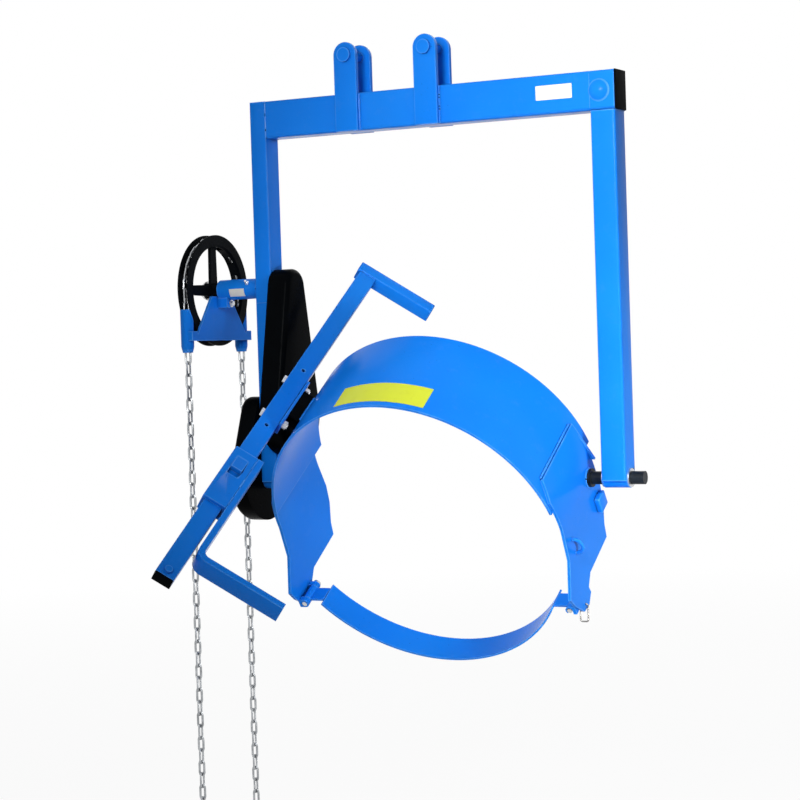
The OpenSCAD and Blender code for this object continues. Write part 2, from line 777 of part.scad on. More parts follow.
// Two cheeks between that plate and the saddle band
module arm_standoff() color(black) difference() {
  reach = arm_gap - arm_plate_t + standoff_t;
  high = standoff_z[1] - standoff_z[0];
  at_arm() for (y = [-standoff_half, standoff_half - standoff_t])
    translate([-arm_half - arm_plate_t - reach, y, standoff_z[0]]) cube([reach, standoff_t, high]);
  at_saddle() translate([0, 0, standoff_z[0] - cut])
    cylinder(r = band_out + seat_gap, h = high + 2 * cut, $fn = 128);
}

module clamp_arm() color(blue) at_arm() difference() {
  translate([-arm_half, -arm_half_d, -arm_low]) cube([arm_w, arm_d, arm_low + arm_top]);
  translate([arm_wall - arm_half, arm_wall - arm_half_d, -arm_low - cut])
    cube([arm_w - 2 * arm_wall, arm_d - 2 * arm_wall, arm_low + arm_top + 2 * cut]);
  for (z = arm_bolt_z) translate([0, 0, z]) x_rod(arm_bolt_r + seat_gap, -arm_w, arm_w);
  for (z = face_hole_z) translate([0, 0, z]) y_rod(face_hole_r, -arm_w, 0);
  translate([0, 0, stop_z]) y_rod(arm_bolt_r + seat_gap, -arm_w, 0);
}

// Plastic cap with a plug inside the arm's end
module arm_end_cap() color(black) at_arm() {
  plug_w = arm_w - 2 * arm_wall - 2 * slide_gap;
  plug_d = arm_d - 2 * arm_wall - 2 * slide_gap;
  translate([-arm_half, -arm_half_d, arm_top]) cube([arm_w, arm_d, arm_cap_t]);
  translate([-plug_w / 2, -plug_d / 2, arm_top - cap_plug]) cube([plug_w, plug_d, cap_plug]);
}

module far_hook() color(blue) at_arm() difference() {
  inward = arm_radius - far_hook_r;
  translate([-inward, -far_hook_w / 2, -arm_low - far_hook_t])
    cube([inward + arm_half + far_hook_out, far_hook_w, far_hook_t]);
  translate([-inward - cut, arm_wall - far_hook_w / 2, arm_wall - arm_low - far_hook_t])
    cube([inward, far_hook_w - 2 * arm_wall, far_hook_t - 2 * arm_wall]);
}

module arm_bolts() color(steel) at_arm() for (z = arm_bolt_z) translate([0, 0, z]) {
  seat = -arm_half - arm_plate_t;
  head_r = arm_bolt_r * 1.7;
  x_rod(arm_bolt_r, seat - nut_h, arm_half);
  hex_x(head_r, arm_half, arm_half + bolt_head_h);
  hex_x(head_r, seat - nut_h + 2, seat);
}

module stop_bolt() color(steel) at_arm() translate([0, 0, stop_z]) {
  y_rod(arm_bolt_r, -arm_half_d, -arm_half_d + 2 * arm_wall);
  y_rod(arm_bolt_r * 1.5, -arm_half_d - bolt_head_h, -arm_half_d);
}

module clamp_sleeve() color(blue) at_arm() difference() {
  translate([-sleeve_half, -hook_w / 2, sleeve_low]) cube([2 * sleeve_half, hook_w, sleeve_len]);
  translate([-sleeve_in, -sleeve_in_d, sleeve_low - cut])
    cube([2 * sleeve_in, 2 * sleeve_in_d, sleeve_len + 2 * cut]);
  translate([-latch_w / 2, -hook_w, latch_z[0]])
    cube([latch_w, hook_w, latch_z[1] - latch_z[0] + latch_open]);
}

// Flat bar under the sleeve, bent over the lid
module lid_hook() color(blue) at_arm() translate([0, hook_w / 2, 0]) rotate([90, 0, 0])
  linear_extrude(hook_w) {
    inner_r = hook_bend_r - hook_t;
    bend_x = hook_out_x - hook_bend_r;
    bend_z = hook_face + hook_t - hook_bend_r;
    tip_x = hook_reach_r - arm_radius;
    translate([hook_out_x - hook_t, sleeve_low]) square([hook_t, bend_z - sleeve_low]);
    translate([tip_x, hook_face]) square([bend_x - tip_x, hook_t]);
    translate([bend_x, bend_z]) intersection() {
      difference() {
        circle(r = hook_bend_r);
        circle(r = inner_r);
      }
      square(hook_bend_r + cut);
    }
  }

// Finger latch in the sleeve's window, raised towards the lid
module sleeve_latch() color(blue) at_arm() x_plate(seat_gap - latch_w / 2, latch_w / 2 - seat_gap)
  polygon([[-sleeve_in_d, latch_z[0] + seat_gap], [-hook_w / 2, latch_z[0] + seat_gap],
    [-hook_w / 2 - latch_rise, latch_z[1]], [-sleeve_in_d, latch_z[1]]]);

// Front gate, hinged on the left wing and latched on the right one

module front_gate() color(blue) at_saddle() difference() {
  union() {
    translate([0, 0, gate_low]) linear_extrude(gate_w)
      mirror([0, 1]) ring_sector(gate_in, gate_in + gate_t, gate_angle, 180 - gate_angle);
    for (flip = [0, 1]) mirror([flip, 0, 0]) {
      reach = gate_mid * cos(gate_angle);
      translate([reach, knuckle_y - gate_t / 2, knuckle_low + slide_gap])
        cube([knuckle_x - reach, gate_t, knuckle_top - knuckle_low - 2 * slide_gap]);
      translate([knuckle_x, knuckle_y, knuckle_low + slide_gap])
        cylinder(r = knuckle_r, h = knuckle_top - knuckle_low - 2 * slide_gap);
    }
  }
  translate([knuckle_x, knuckle_y, gate_low]) cylinder(r = gate_pin_r + seat_gap, h = gate_w);
  translate([-knuckle_x, knuckle_y, gate_low]) cylinder(r = gate_pin_r + run_fit, h = gate_w);
}

// Pin with a flat head at its lower end
module gate_pin(x, past) {
  translate([x, knuckle_y, gate_low - past]) cylinder(r = gate_pin_r, h = gate_w + 2 * past);
  translate([x, knuckle_y, gate_low - past - 4]) cylinder(r = gate_pin_r + 3, h = 4);
}

module gate_hinge_pin() color(steel) at_saddle() gate_pin(-knuckle_x, 1);

module latch_pin() color(steel) at_saddle() gate_pin(knuckle_x, 1);

// Ring clip that hangs plumb from its hole in the right wing's lobe
module safety_clip() color(steel) at_axis() rotate([tilt, 0, 0]) translate([0, clip_y, clip_z])
  rotate([-tilt, 0, 0]) translate([(wing_in + wing_out) / 2, 0, 0]) {
    bend = 4;
    straight = clip_half - bend;
    x_rod(clip_wire_r, -straight, straight);
    for (x = [-clip_half, clip_half])
      translate([x, 0, bend - clip_drop]) cylinder(r = clip_wire_r, h = clip_drop - 2 * bend);
    translate([0, 0, -clip_drop]) x_rod(clip_wire_r, -straight, straight);
    for (x = [-straight, straight], z = [-bend, bend - clip_drop])
      translate([x, 0, z]) rotate([90, 0, 0])
        rotate(x > 0 ? (z == -bend ? 0 : -90) : (z == -bend ? 90 : 180))
          rotate_extrude(angle = 90) translate([bend, 0]) circle(r = clip_wire_r, $fn = 24);
  }

cross_beam();
left_leg();
right_leg();
beam_end_cap();
hook_lugs();
centre_hook_pin();
side_hook_pin();
dome_bolt();
right_bearing();
left_bearing();
trunnion_washers();
shaft_housing();
housing_bushes();
jack_bush();
chain_guide();
guard_bolt();
upper_guard();
upper_guard_back();
lower_guard();
lower_guard_back();
guard_posts();
guard_screws();
first_roller_chain();
second_roller_chain();
hand_chain();
chain_wheel();
wheel_shaft();
wheel_nut();
wheel_sprocket();
jackshaft();
jack_large_sprocket();
jack_small_sprocket();
saddle_band();
right_wing();
left_wing();
right_trunnion();
left_trunnion();
trunnion_sprocket();
wing_block();
wing_eye();
arm_plate();
arm_standoff();
clamp_arm();
arm_end_cap();
far_hook();
arm_bolts();
stop_bolt();
gate_hinge_pin();
clamp_sleeve();
lid_hook();
sleeve_latch();
front_gate();
latch_pin();
safety_clip();
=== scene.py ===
"""Looks for the drum lifter: paints and metals on the CAD nodes, rounded edges, guard covers,
the round-wire hand chain, weld beads, blank labels, small fittings, and a plain studio stage."""

import json
import math

import bmesh
import bpy
from bpy.props import FloatProperty, FloatVectorProperty, IntProperty, PointerProperty
from mathutils import Matrix, Vector


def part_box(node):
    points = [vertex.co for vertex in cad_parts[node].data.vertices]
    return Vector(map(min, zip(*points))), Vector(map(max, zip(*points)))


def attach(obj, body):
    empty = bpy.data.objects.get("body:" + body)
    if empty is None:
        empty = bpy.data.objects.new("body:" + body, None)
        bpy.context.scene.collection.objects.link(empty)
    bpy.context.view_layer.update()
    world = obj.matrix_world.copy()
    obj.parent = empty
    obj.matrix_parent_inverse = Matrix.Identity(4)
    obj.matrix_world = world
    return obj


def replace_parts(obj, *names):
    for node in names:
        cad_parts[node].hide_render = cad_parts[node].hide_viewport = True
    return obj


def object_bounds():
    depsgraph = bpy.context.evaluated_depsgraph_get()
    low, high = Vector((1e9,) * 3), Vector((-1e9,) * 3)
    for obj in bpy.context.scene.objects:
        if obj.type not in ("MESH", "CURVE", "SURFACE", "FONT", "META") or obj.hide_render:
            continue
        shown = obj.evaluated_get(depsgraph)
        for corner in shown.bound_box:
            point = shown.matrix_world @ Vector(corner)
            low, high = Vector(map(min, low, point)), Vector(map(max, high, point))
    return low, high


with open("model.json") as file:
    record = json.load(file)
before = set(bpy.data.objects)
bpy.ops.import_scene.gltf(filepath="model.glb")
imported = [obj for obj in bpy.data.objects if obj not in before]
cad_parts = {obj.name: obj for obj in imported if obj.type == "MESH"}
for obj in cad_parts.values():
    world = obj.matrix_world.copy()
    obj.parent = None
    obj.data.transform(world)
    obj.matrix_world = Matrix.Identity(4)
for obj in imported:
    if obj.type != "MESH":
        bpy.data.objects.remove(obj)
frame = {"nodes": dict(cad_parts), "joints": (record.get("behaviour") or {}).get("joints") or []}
CAD_BOX = [list(corner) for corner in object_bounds()]

bl_info = {
    "name": "Drum lifter looks",
    "version": (1, 0, 0),
    "blender": (4, 5, 0),
    "location": "3D View > Sidebar > Drum lifter",
    "description": "Finishes, hand chain, welds and labels for a tilting drum lifter",
    "category": "Object",
}

# Heights in metres, the clamp arm's direction and the tilt, as the frame's joints give them
JOINTS = {joint["name"]: joint for joint in frame["joints"]}
AXIS_Z = JOINTS["saddle_tilt"]["pos_m"][2]
JACK_Z = JOINTS["jack_spin"]["pos_m"][2]
WHEEL_Z = JOINTS["wheel_spin"]["pos_m"][2]
LID_WAY = Vector(JOINTS["sleeve_slide"]["axis"])
TILT = math.atan2(-LID_WAY.y, LID_WAY.z)

# Places and sizes that the part's own source also uses, in metres and radians
LUG_PLACES = (0, -0.18)
LUG_HALF = 0.0254
BAND_OUT = 0.3048
WING_OUT = 0.311
ARM_ANGLE = math.radians(138.5)
ARM_RADIUS = 0.35415
HOOK_HALF = 0.021
WHEEL_X = -0.53225
CHAIN_R = 0.104
HOUSING_R = 0.021
GUIDE_FACE = -0.48975
SADDLE = Matrix.Translation((0, 0, AXIS_Z)) @ Matrix.Rotation(TILT, 4, "X")
ARM = SADDLE @ Matrix.Rotation(ARM_ANGLE, 4, "Z") @ Matrix.Translation((ARM_RADIUS, 0, 0))

# Distances under which two vertices of a CAD node, or of a piece made here, are one,
# and under which a vertex lies in a plane
MERGE = 2e-6
DOUBLE = 1e-6
IN_PLANE = 1e-5
# Angles under which faces are flat, under which they are shaded as one, and over which an edge
# is rounded, and the cosine over which lines are parallel
FLAT = math.radians(0.5)
SMOOTH = math.radians(38)
SHARP = math.radians(40)
PARALLEL = 0.999

# Place and turns of the camera, found from the lines of the photograph
CAMERA_AT = (2.047, -4.030, -0.611)
YAW, PITCH, ROLL = math.radians(28.01), math.radians(-1.08), math.radians(-1.83)

FINISHES = {
    "enamel": [
        "cross_beam", "left_leg", "right_leg", "hook_lugs", "centre_hook_pin", "side_hook_pin",
        "dome_bolt", "right_bearing", "left_bearing", "shaft_housing", "chain_guide", "saddle_band",
        "right_wing", "left_wing", "wing_block", "wing_eye", "arm_plate", "clamp_arm", "far_hook",
        "clamp_sleeve", "lid_hook", "sleeve_latch", "front_gate", "stop_bolt",
    ],
    "guard_black": [
        "upper_guard", "upper_guard_back", "lower_guard", "lower_guard_back", "guard_bolt",
        # The arm standoff is black as painted shade for the shaded gap between the arm and the band
        "arm_standoff",
    ],
    "shaft_black": ["right_trunnion", "left_trunnion"],
    "cast_black": ["chain_wheel"],
    "cap_plastic": ["beam_end_cap", "arm_end_cap"],
    "zinc": [
        "trunnion_washers", "guard_posts", "guard_screws", "wheel_nut", "arm_bolts",
        "gate_hinge_pin", "latch_pin",
    ],
    "oiled_steel": [
        "first_roller_chain", "second_roller_chain", "wheel_shaft", "wheel_sprocket", "jackshaft",
        "jack_large_sprocket", "jack_small_sprocket", "trunnion_sprocket", "safety_clip",
    ],
    "bronze": ["housing_bushes", "jack_bush"],
}
NODE_FINISH = {node: finish for finish, nodes in FINISHES.items() for node in nodes}

# Pieces whose edges are rounded: body, radius in metres, direction of the edges or None for all
SOFT_EDGES = {
    "cross_beam": ("frame", 0.0045, Vector((1, 0, 0))),
    "left_leg": ("frame", 0.0045, Vector((0, 0, 1))),
    "right_leg": ("frame", 0.0045, Vector((0, 0, 1))),
    "beam_end_cap": ("frame", 0.0025, None),
    "hook_lugs": ("frame", 0.0010, None),
    "clamp_arm": ("saddle", 0.0030, LID_WAY),
    "arm_end_cap": ("saddle", 0.0010, None),
    "arm_plate": ("saddle", 0.0012, LID_WAY),
    "far_hook": ("saddle", 0.0020, None),
    "wing_block": ("saddle", 0.0020, None),
    "clamp_sleeve": ("slider", 0.0022, LID_WAY),
    "lid_hook": ("slider", 0.0012, None),
}


class LifterColours(bpy.types.PropertyGroup):
    """Paints and metals"""

    blue: FloatVectorProperty(
        name="Blue enamel", description="Paint of the frame and the saddle", subtype="COLOR",
        default=(0.006, 0.203, 0.82), min=0, max=1)
    black: FloatVectorProperty(
        name="Black", description="Black of the guards, chain wheel, trunnions and caps", subtype="COLOR",
        default=(0.0022, 0.003, 0.004), min=0, max=1)
    zinc: FloatVectorProperty(
        name="Zinc plate", description="Plating of the bolts, pins and washers", subtype="COLOR",
        default=(0.62, 0.63, 0.65), min=0, max=1)
    chain: FloatVectorProperty(
        name="Chain", description="Galvanizing of the hand chain", subtype="COLOR",
        default=(0.42, 0.435, 0.45), min=0, max=1)
    label: FloatVectorProperty(
        name="Beam label", description="Vinyl of the blank beam label and housing plate", subtype="COLOR",
        default=(0.80, 0.78, 0.71), min=0, max=1)
    decal: FloatVectorProperty(
        name="Band decal", description="Vinyl of the blank band decal", subtype="COLOR",
        default=(0.64, 0.71, 0.015), min=0, max=1)


class LifterSizes(bpy.types.PropertyGroup):
    """Sizes of the pieces that are added to the CAD model"""

    link_pitch: FloatProperty(
        name="Link pitch", description="Pitch of the hand chain", default=0.025, min=0.02, max=0.03,
        unit="LENGTH")
    link_wire: FloatProperty(
        name="Link wire", description="Thickness of the hand chain's wire", default=0.0047, min=0.003,
        max=0.005, unit="LENGTH")
    link_width: FloatProperty(
        name="Link width", description="Outer width of a link", default=0.016, min=0.014, max=0.017,
        unit="LENGTH")
    links: IntProperty(name="Links", description="Links in the loop", default=114, min=80, max=140)
    guard_edge: FloatProperty(
        name="Guard edge", description="Outer radius of the rounded face edge of the guards",
        default=0.012, min=0.004, max=0.02, unit="LENGTH")
    guard_sheet: FloatProperty(
        name="Guard sheet", description="Thickness of the guards' sheet", default=0.0025, min=0.001,
        max=0.004, unit="LENGTH")
    bead: FloatProperty(
        name="Weld bead", description="Radius of a weld bead", default=0.0028, min=0.001, max=0.006,
        unit="LENGTH")
    ripple: FloatProperty(
        name="Weld ripple", description="Distance between the ripples of a bead", default=0.0028,
        min=0.001, max=0.006, unit="LENGTH")
    vinyl: FloatProperty(
        name="Vinyl", description="Thickness of labels and decals", default=0.0004, min=0.0001,
        max=0.001, unit="LENGTH")


class LifterStage(bpy.types.PropertyGroup):
    """Camera and light"""

    lens: FloatProperty(
        name="Lens", description="Focal length on a 36 mm sensor, in millimetres", default=102.15,
        min=20, max=300)
    key: FloatProperty(
        name="Key light", description="Power of the light at the front, aimed to the right", default=15.7,
        min=0, max=2000, subtype="POWER")
    fill: FloatProperty(
        name="Fill light", description="Power of the soft light at the front left", default=13.5,
        min=0, max=2000, subtype="POWER")
    side: FloatProperty(
        name="Side light", description="Power of the low light at the right", default=2.8, min=0, max=2000,
        subtype="POWER")
    back: FloatProperty(
        name="Back light", description="Power of the soft light behind", default=52, min=0, max=2000,
        subtype="POWER")
    sky: FloatProperty(
        name="Room light", description="Strength of the even light from all sides", default=0.15, min=0,
        max=2)


# Material nodes


class Nodes:
    """A material's node tree with a shader and Object coordinates"""

    def __init__(self, name):
        self.material = bpy.data.materials.new(name)
        self.material.use_nodes = True
        self.tree = self.material.node_tree
        self.tree.nodes.clear()
        out = self.tree.nodes.new("ShaderNodeOutputMaterial")
        self.shader = self.tree.nodes.new("ShaderNodeBsdfPrincipled")
        self.tree.links.new(self.shader.outputs["BSDF"], out.inputs["Surface"])
        self.place = self.tree.nodes.new("ShaderNodeTexCoord").outputs["Object"]

    def link(self, a, b):
        self.tree.links.new(a, b)

    def noise(self, scale, detail=3.0, roughness=0.55):
        n = self.tree.nodes.new("ShaderNodeTexNoise")
        n.inputs["Scale"].default_value = scale
        n.inputs["Detail"].default_value = detail
        n.inputs["Roughness"].default_value = roughness
        self.link(self.place, n.inputs["Vector"])
        return n.outputs["Fac"]

    def cells(self, scale):
        n = self.tree.nodes.new("ShaderNodeTexVoronoi")
        n.inputs["Scale"].default_value = scale
        self.link(self.place, n.inputs["Vector"])
        return n.outputs["Color"]

    def ramp(self, value, stops):
        n = self.tree.nodes.new("ShaderNodeValToRGB")
        while len(n.color_ramp.elements) < len(stops):
            n.color_ramp.elements.new(0.5)
        for element, (at, colour) in zip(n.color_ramp.elements, stops):
            element.position = at
            element.color = (*colour, 1)
        self.link(value, n.inputs["Fac"])
        return n.outputs["Color"]

    def span(self, value, low, high, from_low=0.3, from_high=0.7):
        n = self.tree.nodes.new("ShaderNodeMapRange")
        n.inputs["From Min"].default_value = from_low
        n.inputs["From Max"].default_value = from_high
        n.inputs["To Min"].default_value = low
        n.inputs["To Max"].default_value = high
        self.link(value, n.inputs["Value"])
        return n.outputs["Result"]

    def blend(self, factor, a, b):
        n = self.tree.nodes.new("ShaderNodeMix")
        n.data_type = "RGBA"
        self.link(factor, n.inputs["Factor"])
        for value, socket in ((a, n.inputs["A"]), (b, n.inputs["B"])):
            if isinstance(value, bpy.types.NodeSocket):
                self.link(value, socket)
            else:
                socket.default_value = (*value, 1)
        return n.outputs["Result"]

    def openness(self, reach, inside):
        n = self.tree.nodes.new("ShaderNodeAmbientOcclusion")
        n.samples = 6
        n.inside = inside
        n.only_local = inside
        n.inputs["Distance"].default_value = reach
        return n.outputs["AO"]

    def corner_shade(self, reach):
        """One on open surfaces, less in the corners where pieces meet; the mask of the enamel's painted shade
        """
        return self.openness(reach, inside=False)

    def rim(self, reach):
        """One on flat faces, less along the outer edges of a piece; the mask of the enamel's lighter edges,
        part wear and part painted highlight
        """
        return self.openness(reach, inside=True)

    def bump(self, height, strength, distance):
        n = self.tree.nodes.new("ShaderNodeBump")
        n.inputs["Strength"].default_value = strength
        n.inputs["Distance"].default_value = distance
        self.link(height, n.inputs["Height"])
        self.link(n.outputs["Normal"], self.shader.inputs["Normal"])

    def set(self, **values):
        for name, value in values.items():
            socket = name.replace("_", " ").title().replace("Ior", "IOR")
            self.shader.inputs[socket].default_value = value

    def colour(self, socket):
        self.link(socket, self.shader.inputs["Base Color"])

    def rough(self, socket):
        self.link(socket, self.shader.inputs["Roughness"])


def shade(colour, share):
    """A colour times a share, at most one"""
    return tuple(min(1.0, c * share) for c in colour)


def toward(colour, other, share):
    """A colour moved a share of the way to another"""
    return tuple(a + (b - a) * share for a, b in zip(colour, other))


def enamel(colours):
    """Sprayed gloss enamel: slow tone drift, orange peel, a few rubbed specks, lighter edges that are part
    wear and part painted highlight, and painted shade in the corners
    """
    n = Nodes("blue_enamel")
    blue = tuple(colours.blue)
    tone = n.ramp(n.noise(3.5, 2.0), [
        (0.25, shade(blue, 0.90)), (0.5, blue), (0.78, toward(blue, (0.02, 0.30, 0.90), 0.30))])
    dust = n.span(n.noise(38, 6.0, 0.7), 0.0, 0.05, 0.55, 0.78)
    specks = n.span(n.noise(240, 2.0), 0.0, 0.5, 0.71, 0.76)
    paint = n.blend(specks, n.blend(dust, tone, (0.22, 0.38, 0.66)), shade(blue, 0.35))
    patchy = n.span(n.noise(30, 4.0), 0.35, 1.0, 0.35, 0.65)
    # Lighter blue along the outer edges of each piece: part wear, part painted highlight
    worn_and_highlit = n.blend(patchy, paint, toward(blue, (0.16, 0.48, 1.0), 0.7))
    paint = n.blend(n.span(n.rim(0.003), 0.75, 0.0, 0.60, 0.95), paint, worn_and_highlit)
    # Painted shade: a dark blue in the corners where pieces meet
    n.colour(n.blend(n.span(n.corner_shade(0.014), 0.6, 0.0, 0.25, 0.85), paint, shade(blue, 0.12)))
    n.rough(n.span(n.noise(22, 4.0), 0.15, 0.26))
    n.bump(n.noise(420, 1.5), 0.06, 0.0005)
    n.set(specular_ior_level=0.055)
    return n.material


def guard_black(colours):
    """Satin black on sheet metal"""
    n = Nodes("guard_black")
    black = tuple(colours.black)
    n.colour(n.ramp(n.noise(9, 4.0), [(0.3, shade(black, 0.4)), (0.7, shade(black, 1.0))]))
    n.rough(n.span(n.noise(30, 5.0), 0.20, 0.32))
    n.bump(n.noise(500, 2.0), 0.12, 0.0005)
    n.set(specular_ior_level=0.008)
    return n.material


def shaft_black(colours):
    """Blackened turned steel, rubbed paler where it runs"""
    n = Nodes("shaft_black")
    black = tuple(colours.black)
    n.colour(n.ramp(n.noise(40, 4.0, 0.6), [
        (0.3, shade(black, 2)), (0.55, shade(black, 5)), (0.75, shade(black, 9))]))
    n.rough(n.span(n.noise(90, 4.0), 0.26, 0.42))
    n.bump(n.noise(600, 2.0), 0.1, 0.0003)
    n.set(specular_ior_level=0.10)
    return n.material


def cast_black(colours):
    """Black paint over sand-cast iron"""
    n = Nodes("cast_black")
    black = tuple(colours.black)
    grain = n.noise(260, 5.0, 0.7)
    n.colour(n.ramp(grain, [(0.3, shade(black, 0.8)), (0.62, shade(black, 1.8)), (0.8, shade(black, 3.2))]))
    n.rough(n.span(n.noise(40, 4.0), 0.34, 0.55))
    n.bump(grain, 0.35, 0.0008)
    n.set(specular_ior_level=0.015)
    return n.material


def cap_plastic(colours):
    """Moulded black plastic"""
    n = Nodes("cap_plastic")
    black = tuple(colours.black)
    n.colour(n.ramp(n.noise(14, 3.0), [(0.3, shade(black, 0.6)), (0.75, shade(black, 1.4))]))
    n.rough(n.span(n.noise(60, 4.0), 0.42, 0.58))
    n.bump(n.noise(900, 2.0), 0.2, 0.0003)
    n.set(specular_ior_level=0.008)
    return n.material


def zinc(colours):
    """Bright zinc plate with a faint blue and straw tint"""
    n = Nodes("zinc_plate")
    base = tuple(colours.zinc)
    n.colour(n.ramp(n.noise(70, 3.0), [
        (0.25, shade(base, 0.82)), (0.5, base), (0.72, toward(base, (0.70, 0.68, 0.60), 0.6))]))
    n.rough(n.span(n.noise(140, 4.0), 0.22, 0.38))
    n.bump(n.noise(700, 2.0), 0.08, 0.0003)
    n.set(metallic=1.0)
    return n.material


def galvanized(colours):
    """Hot-dip galvanized wire with a fine spangle"""
    n = Nodes("chain_zinc")
    base = tuple(colours.chain)
    spangle = n.cells(420)
    tone = n.ramp(n.noise(90, 4.0), [(0.28, shade(base, 0.62)), (0.55, base), (0.8, shade(base, 1.25))])
    n.colour(n.blend(n.span(spangle, 0.0, 0.22, 0.0, 1.0), tone, shade(base, 0.7)))
    n.rough(n.span(n.noise(200, 3.0), 0.30, 0.50))
    n.bump(n.noise(600, 3.0), 0.15, 0.0004)
    n.set(metallic=1.0)
    return n.material


def oiled_steel():
    """Dark machined steel under an oil film"""
    n = Nodes("oiled_steel")
    n.colour(n.ramp(n.noise(45, 5.0, 0.65), [
        (0.3, (0.16, 0.145, 0.13)), (0.55, (0.30, 0.29, 0.28)), (0.78, (0.40, 0.39, 0.38))]))
    n.rough(n.span(n.noise(110, 4.0), 0.24, 0.44))
    n.bump(n.noise(380, 2.0), 0.08, 0.0003)
    n.set(metallic=1.0)
    return n.material


def bronze():
    """Sintered bearing bronze"""
    n = Nodes("bearing_bronze")
    n.colour(n.ramp(n.noise(60, 5.0, 0.7), [(0.3, (0.36, 0.22, 0.09)), (0.7, (0.62, 0.43, 0.20))]))
    n.rough(n.span(n.noise(300, 3.0), 0.30, 0.48))
    n.bump(n.noise(900, 2.0), 0.2, 0.0002)
    n.set(metallic=1.0)
    return n.material


def vinyl(name, colour):
    """Printed vinyl left blank, a little scuffed"""
    n = Nodes(name)
    scuff = n.span(n.noise(55, 6.0, 0.7), 0.0, 0.35, 0.55, 0.8)
    n.colour(n.blend(scuff, tuple(colour), shade(tuple(colour), 0.72)))
    n.rough(n.span(n.noise(25, 3.0), 0.30, 0.46))
    n.bump(n.noise(240, 2.0), 0.05, 0.0003)
    return n.material


MAKERS = {
    "enamel": enamel,
    "guard_black": guard_black,
    "shaft_black": shaft_black,
    "cast_black": cast_black,
    "cap_plastic": cap_plastic,
    "zinc": zinc,
    "chain": galvanized,
    "oiled_steel": lambda colours: oiled_steel(),
    "bronze": lambda colours: bronze(),
    "label": lambda colours: vinyl("label_vinyl", colours.label),
    "decal": lambda colours: vinyl("decal_vinyl", colours.decal),
}
STOCK = {}


def stock(name):
    """A finish by its short name, made once"""
    if name not in STOCK:
        STOCK[name] = MAKERS[name](bpy.context.scene.lifter_colours)
    return STOCK[name]


# Mesh helpers


def piece(name, bm, finish, body):
    """Turns a bmesh into a finished object that rides on a CAD body"""
    bmesh.ops.remove_doubles(bm, verts=bm.verts, dist=DOUBLE)
    bmesh.ops.recalc_face_normals(bm, faces=bm.faces)
    mesh = bpy.data.meshes.new(name)
    bm.to_mesh(mesh)
    bm.free()
    if not mesh.polygons:
        raise RuntimeError(f"{name} has no faces")
    mesh.shade_smooth()
    mesh.set_sharp_from_angle(angle=SMOOTH)
    obj = bpy.data.objects.new(name, mesh)
    bpy.context.scene.collection.objects.link(obj)
    mesh.materials.append(stock(finish))
    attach(obj, body)
    return obj


def slab(bm, size, corner, edge, place):
    """Thin plate with rounded corners, its face towards local -Y"""
    made = bmesh.ops.create_cube(bm, size=1, matrix=Matrix.Diagonal((*size, 1)))["verts"]
    rims = [e for e in {e for v in made for e in v.link_edges}
            if abs(e.verts[0].co.y - e.verts[1].co.y) > size[1] * 0.5]
    result = bmesh.ops.bevel(bm, geom=rims, offset=corner, affect="EDGES", segments=4, profile=0.5,
                             material=-1)
    verts = set(made) | set(result["verts"])
    verts = [v for v in verts if v.is_valid]
    front = [e for e in {e for v in verts for e in v.link_edges}
             if all(v.co.y < -size[1] * 0.49 for v in e.verts) and len(e.link_faces) == 2
             and any(abs(f.normal.y) < 0.5 for f in e.link_faces)]
    result = bmesh.ops.bevel(bm, geom=front, offset=edge, affect="EDGES", segments=1, profile=0.5,
                             material=-1)
    verts = [v for v in set(verts) | set(result["verts"]) if v.is_valid]
    bmesh.ops.transform(bm, matrix=place, verts=verts)


def curved_patch(bm, r0, r1, low, high, a0, a1, steps, place):
    """Thin patch on a cylinder about local Z, from angle a0 to a1"""
    verts = bmesh.ops.create_grid(bm, x_segments=1, y_segments=1, size=0.5)["verts"]
    bmesh.ops.scale(bm, vec=(r1 - r0, high - low, 1), verts=verts)
    bmesh.ops.rotate(bm, matrix=Matrix.Rotation(math.pi / 2, 3, "X"), verts=verts)
    bmesh.ops.translate(bm, vec=((r0 + r1) / 2, 0, (low + high) / 2), verts=verts)
    bmesh.ops.rotate(bm, matrix=Matrix.Rotation(a0, 3, "Z"), verts=verts)
    faces = list({f for v in verts for f in v.link_faces})
    before = set(bm.verts) - set(verts)
    bmesh.ops.spin(bm, geom=faces, axis=(0, 0, 1), angle=a1 - a0, steps=steps, use_duplicate=False)
    bmesh.ops.transform(bm, matrix=place, verts=[v for v in bm.verts if v not in before])


def only(geom, kind):
    """The elements of one kind"""
    return [g for g in geom if isinstance(g, kind)]


def across(x, z):
    """A place whose Z points along the frame's X"""
    return Matrix.Translation((x, 0, z)) @ Matrix.Rotation(math.pi / 2, 4, "Y")


def along(points):
    """Places that follow an open path: each has its Z along the path"""
    places = []
    for i, p in enumerate(points):
        way = points[min(i + 1, len(points) - 1)] - points[max(i - 1, 0)]
        places.append(Matrix.Translation(p) @ way.to_track_quat("Z", "Y").to_matrix().to_4x4())
    return places


def straight(a, b, step):
    """Points about a step apart from a to b"""
    a, b = Vector(a), Vector(b)
    count = max(2, round((b - a).length / step))
    return [a.lerp(b, i / count) for i in range(count + 1)]


def circle(place, radius, step):
    """Points about a step apart on a circle about a place's own Z"""
    count = max(3, round(2 * math.pi * radius / step))
    turns = [2 * math.pi * i / count for i in range(count + 1)]
    return [place @ Vector((radius * math.cos(t), radius * math.sin(t), 0)) for t in turns]


